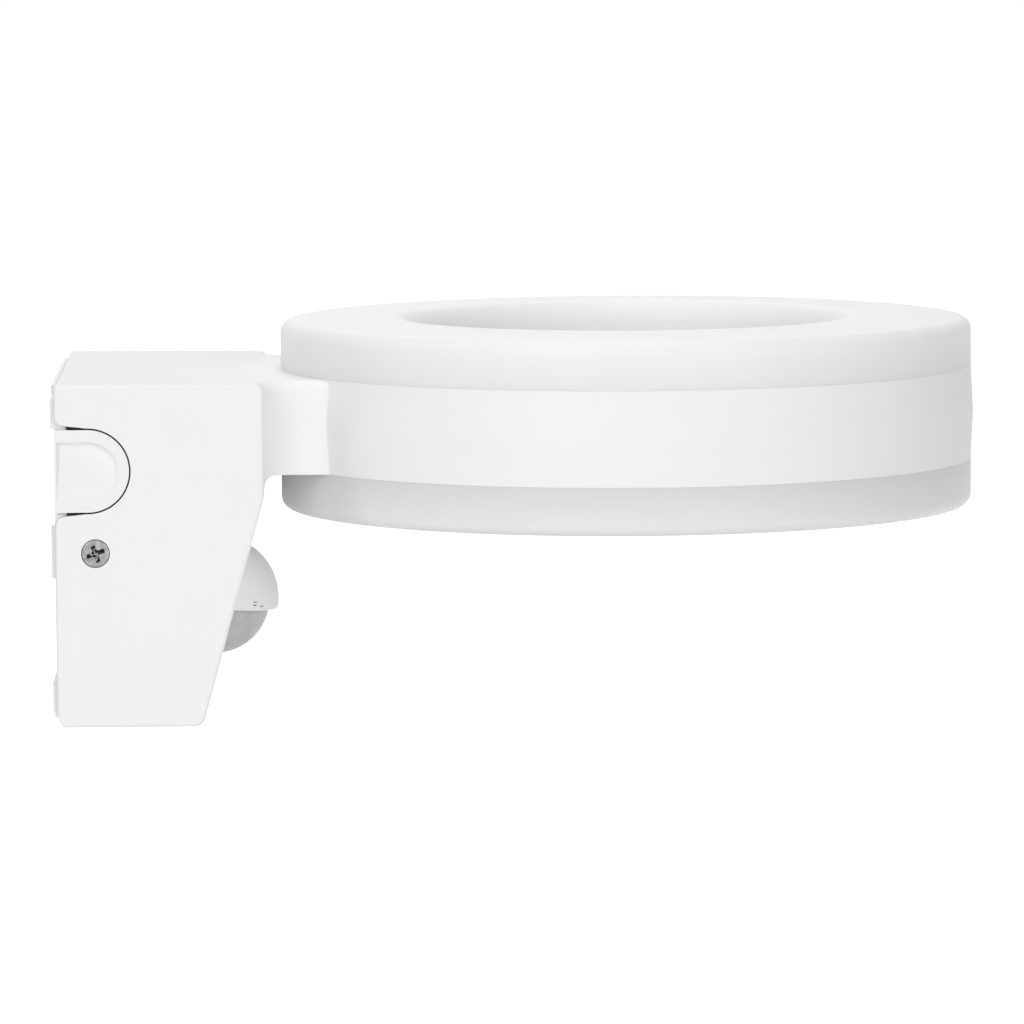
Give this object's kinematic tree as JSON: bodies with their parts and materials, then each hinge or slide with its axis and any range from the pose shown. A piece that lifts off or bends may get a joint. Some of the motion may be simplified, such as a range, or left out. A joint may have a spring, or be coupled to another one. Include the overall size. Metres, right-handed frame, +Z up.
{
  "type": "outdoor wall light with motion sensor",
  "caption": "Outdoor wall light: wedge-shaped wall box, short neck, ring head with frosted covers above and below, and a swivelling motion sensor on the box's leaning front.",
  "frame": {"origin": "on the wall, behind the middle of the wall box", "axes": "+X out from the wall, +Z up, +Y to the left of someone who looks out from the wall"},
  "size_m": [0.2378, 0.1806, 0.0995],
  "materials": {
    "white_shell": "white moulding with a fine satin surface",
    "frosted_cover": "frosted milky plastic",
    "lens_film": "translucent grey lens plastic",
    "inner_plastic": "plain grey moulding",
    "driver_case": "black case",
    "dial_plastic": "grey moulding",
    "screw_steel": "bright zinc-plated steel",
    "sensor_can": "plain nickel-plated can",
    "clamp_brass": "plain brass",
    "seal_rubber": "soft matt rubber",
    "board_white": "white solder mask",
    "board_green": "green solder mask",
    "led_phosphor": "yellow phosphor",
    "lead_sleeve": "smooth sleeve"
  },
  "bodies": {
    "fixture": {"wall_plate": "white_shell", "rear_grommet": "seal_rubber", "housing_seal": "seal_rubber", "terminal_block": "inner_plastic", "terminal_screws": "clamp_brass", "terminal_mount_screws": "screw_steel", "housing": "white_shell", "side_screws": "screw_steel", "upper_diffuser": "frosted_cover", "lower_diffuser": "frosted_cover", "upper_diffuser_seals": "seal_rubber", "lower_diffuser_seals": "seal_rubber", "upper_led_board": "board_white", "lower_led_board": "board_white", "upper_leds": "led_phosphor", "lower_leds": "led_phosphor", "led_board_screws": "screw_steel", "upper_led_lead": "lead_sleeve", "lower_led_lead": "lead_sleeve", "led_driver": "driver_case", "driver_screws": "screw_steel", "supply_leads": "lead_sleeve", "control_board": "board_green", "control_board_screws": "screw_steel", "control_leads": "lead_sleeve", "dial_potentiometers": "inner_plastic", "sensor_retainer": "inner_plastic", "retainer_screws": "screw_steel"},
    "sensor_swivel": {"sensor_cradle": "inner_plastic"},
    "sensor_ball": {"sensor_hood": "white_shell", "sensor_lens": "lens_film", "sensor_back_shell": "inner_plastic", "sensor_board": "board_green", "pyro_detector": "sensor_can"},
    "time_dial_knob": {"time_dial": "dial_plastic"},
    "twilight_dial_knob": {"twilight_dial": "dial_plastic"},
    "range_dial_knob": {"range_dial": "dial_plastic"}
  },
  "joints": [
    {"name": "sensor_pan", "type": "hinge", "parent": "fixture", "child": "sensor_swivel", "pos_m": [0.04069, 0, -0.0169], "axis": [0.2643, 0, 0.9645], "range_deg": [-30, 30]},
    {"name": "sensor_tilt", "type": "hinge", "parent": "sensor_swivel", "child": "sensor_ball", "pos_m": [0.04069, 0, -0.0169], "axis": [0, 1, 0], "range_deg": [-10, 20]},
    {"name": "time_dial_turn", "type": "hinge", "parent": "fixture", "child": "time_dial_knob", "pos_m": [0.02, -0.02, -0.043], "axis": [0, 0, 1], "range_deg": [-135, 135]},
    {"name": "twilight_dial_turn", "type": "hinge", "parent": "fixture", "child": "twilight_dial_knob", "pos_m": [0.02, 0, -0.043], "axis": [0, 0, 1], "range_deg": [-135, 135]},
    {"name": "range_dial_turn", "type": "hinge", "parent": "fixture", "child": "range_dial_knob", "pos_m": [0.02, 0.02, -0.043], "axis": [0, 0, 1], "range_deg": [-135, 135]}
  ]
}
